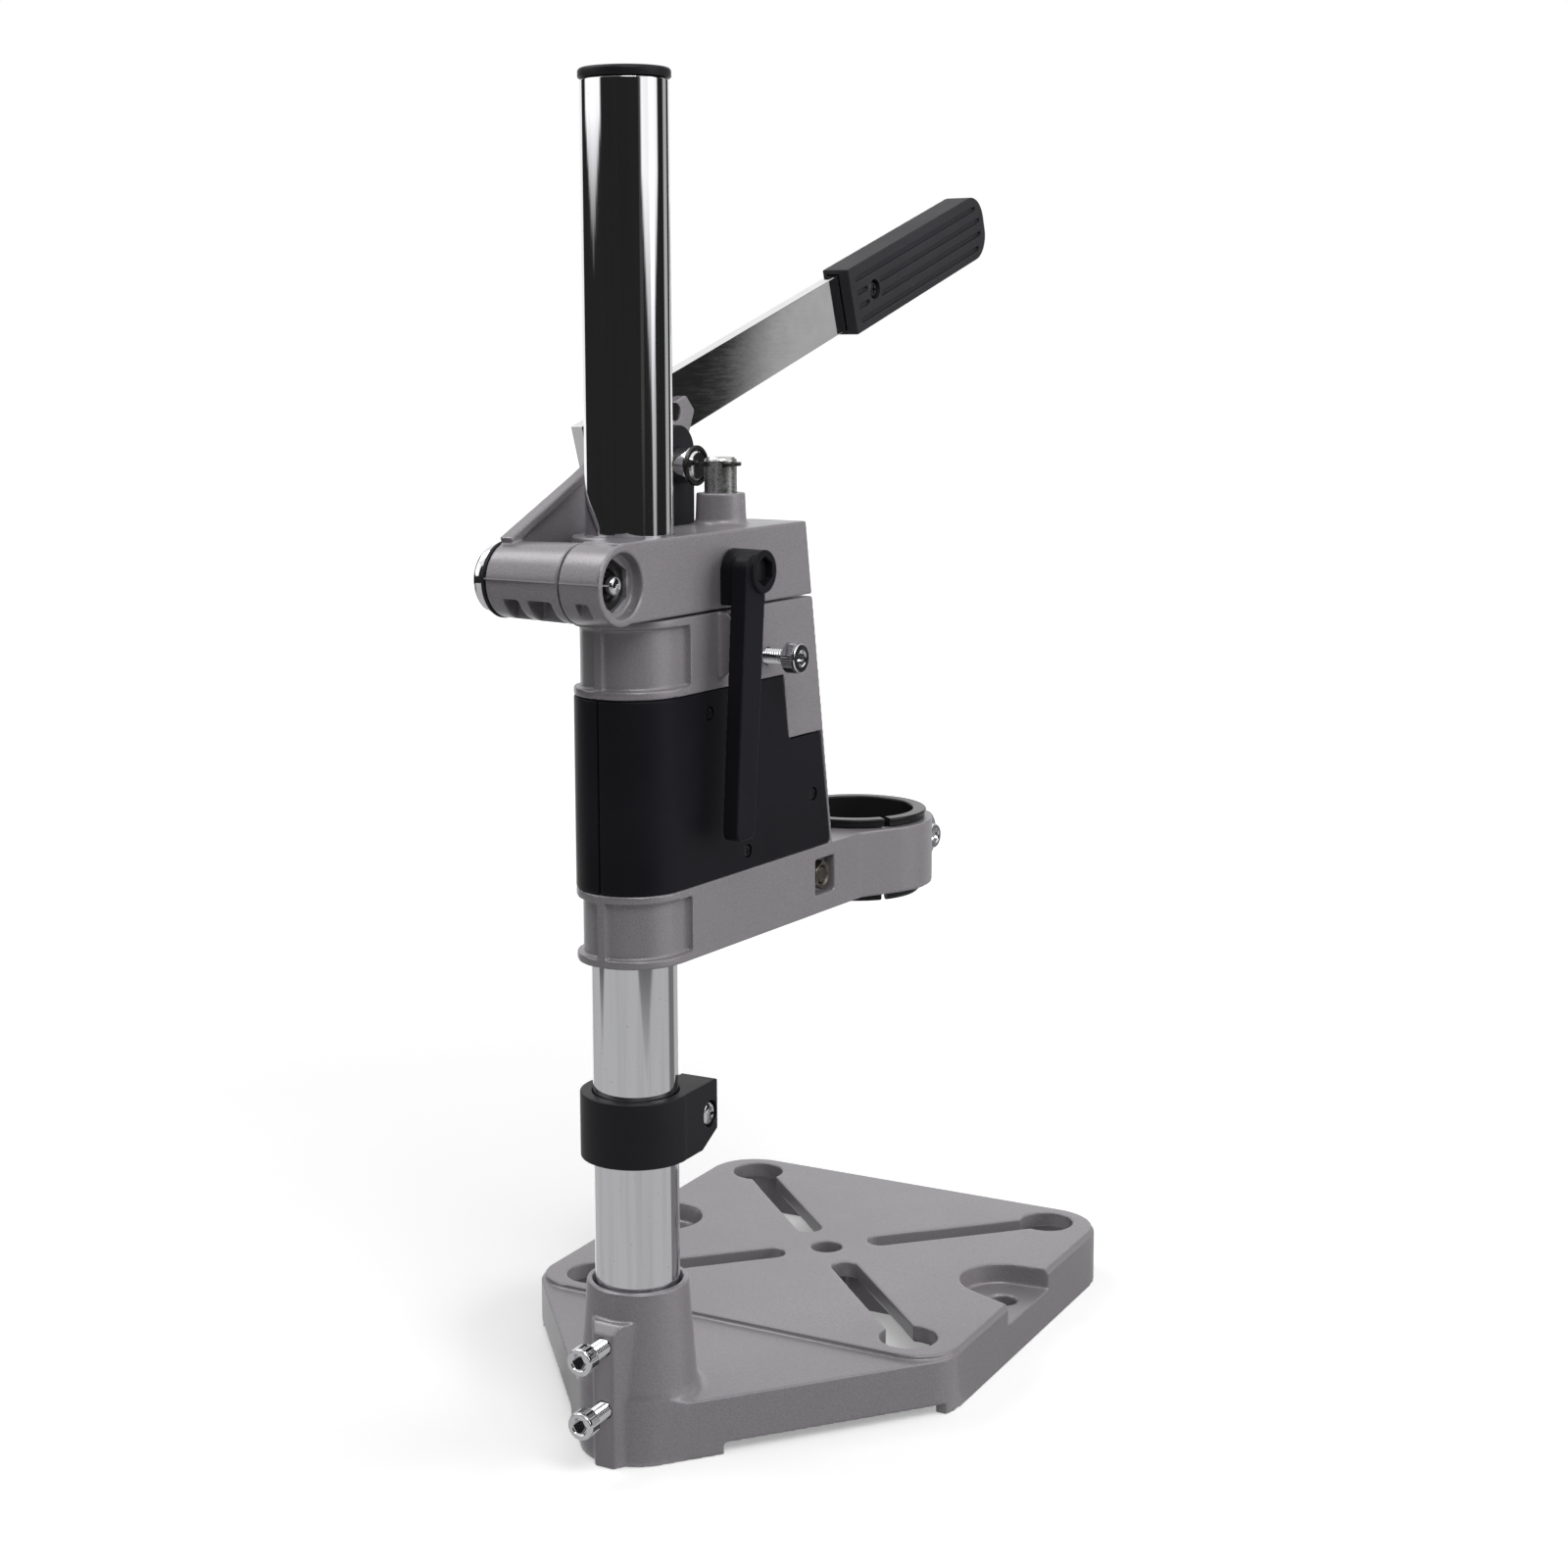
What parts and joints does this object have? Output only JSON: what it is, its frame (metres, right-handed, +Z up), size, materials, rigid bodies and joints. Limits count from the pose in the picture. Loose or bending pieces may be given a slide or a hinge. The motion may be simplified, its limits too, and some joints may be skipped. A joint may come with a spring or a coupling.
{
  "type": "drill stand",
  "caption": "Bench drill stand: slotted cast base, round column, sprung carriage with a split drill collar, hand lever with link, clamp lever and depth stop collar.",
  "frame": {"origin": "on the column's axis, in the plane that the base stands on", "axes": "+Z up along the column; the work table and the hand lever's grip point to -Y; +X is the side that carries the hand lever and the link"},
  "size_m": [0.149, 0.2888, 0.3993],
  "materials": {
    "grey_paint": "semi-gloss grey paint on die-cast metal",
    "chrome_plate": "bright chrome plate",
    "bright_steel": "zinc plated",
    "dark_steel": "black oxide",
    "black_plastic": "black moulded plastic, satin"
  },
  "bodies": {
    "base": {"base_casting": "grey_paint", "socket_screw_lower": "chrome_plate", "socket_screw_upper": "chrome_plate"},
    "column": {"column_tube": "chrome_plate", "column_cap": "black_plastic"},
    "depth_stop": {"stop_collar": "black_plastic", "stop_collar_screw": "chrome_plate", "stop_collar_nut": "bright_steel"},
    "head": {"upper_block": "grey_paint", "clamp_nut": "bright_steel", "pivot_bolt": "chrome_plate", "pivot_washer": "black_plastic", "pivot_nut": "dark_steel", "guide_rod": "chrome_plate", "rod_clip": "dark_steel", "seat_clip": "dark_steel", "spring_seat": "bright_steel"},
    "clamp": {"clamp_lever": "black_plastic", "clamp_bolt": "bright_steel"},
    "carriage": {"carriage_casting": "grey_paint", "cover_left": "black_plastic", "cover_right": "black_plastic", "cover_left_screw_rear": "dark_steel", "cover_left_screw_middle": "dark_steel", "cover_left_screw_front": "dark_steel", "cover_right_screw_rear": "dark_steel", "cover_right_screw_middle": "dark_steel", "cover_right_screw_front": "dark_steel", "lock_screw": "chrome_plate", "link_lower_screw": "chrome_plate", "collar_reducer": "black_plastic", "collar_screw": "chrome_plate", "collar_nut": "bright_steel", "arm_bolt": "chrome_plate", "arm_nut": "bright_steel", "return_spring": "bright_steel"},
    "hand_lever": {"rocker_arm": "grey_paint", "lever_bar": "chrome_plate", "bar_bolt_rear": "chrome_plate", "bar_bolt_front": "chrome_plate", "lever_grip": "black_plastic", "grip_screw": "dark_steel", "link_bolt": "chrome_plate", "link_bolt_ring": "dark_steel"},
    "link": {"link_bar": "black_plastic"}
  },
  "joints": [
    {"name": "column_turn", "type": "hinge", "parent": "base", "child": "column", "pos_m": [0, 0, 0.0277], "axis": [0, 0, 1], "continuous": true},
    {"name": "depth_stop_slide", "type": "slide", "parent": "column", "child": "depth_stop", "axis": [0, 0, 1], "range_m": [-0.037, 0]},
    {"name": "head_slide", "type": "slide", "parent": "column", "child": "head", "axis": [0, 0, 1], "range_m": [0, 0.12]},
    {"name": "clamp_lever_turn", "type": "hinge", "parent": "head", "child": "clamp", "pos_m": [-0.0187, -0.02578, 0.259], "axis": [0.9962, -0.0865, 0], "range_deg": [-15, 75]},
    {"name": "carriage_slide", "type": "slide", "parent": "head", "child": "carriage", "axis": [0, 0, 1], "range_m": [-0.039, 0], "stiffness_N_per_m": 400, "springref_m": 0.06, "deforming": ["return_spring"]},
    {"name": "hand_lever_turn", "type": "hinge", "parent": "head", "child": "hand_lever", "pos_m": [0.00222, 0.0255, 0.2588], "axis": [0.9962, -0.0865, 0], "range_deg": [0, 29.7]},
    {"name": "link_turn", "type": "hinge", "parent": "hand_lever", "child": "link", "pos_m": [-0.00402, -0.04623, 0.2875], "axis": [0.9962, -0.0865, 0], "range_deg": [-22.4, 0]}
  ],
  "couplings": [
    {"joint": "hand_lever_turn", "follows": "carriage_slide", "rad_per_m": -13.26},
    {"joint": "link_turn", "follows": "carriage_slide", "rad_per_m": 10}
  ]
}
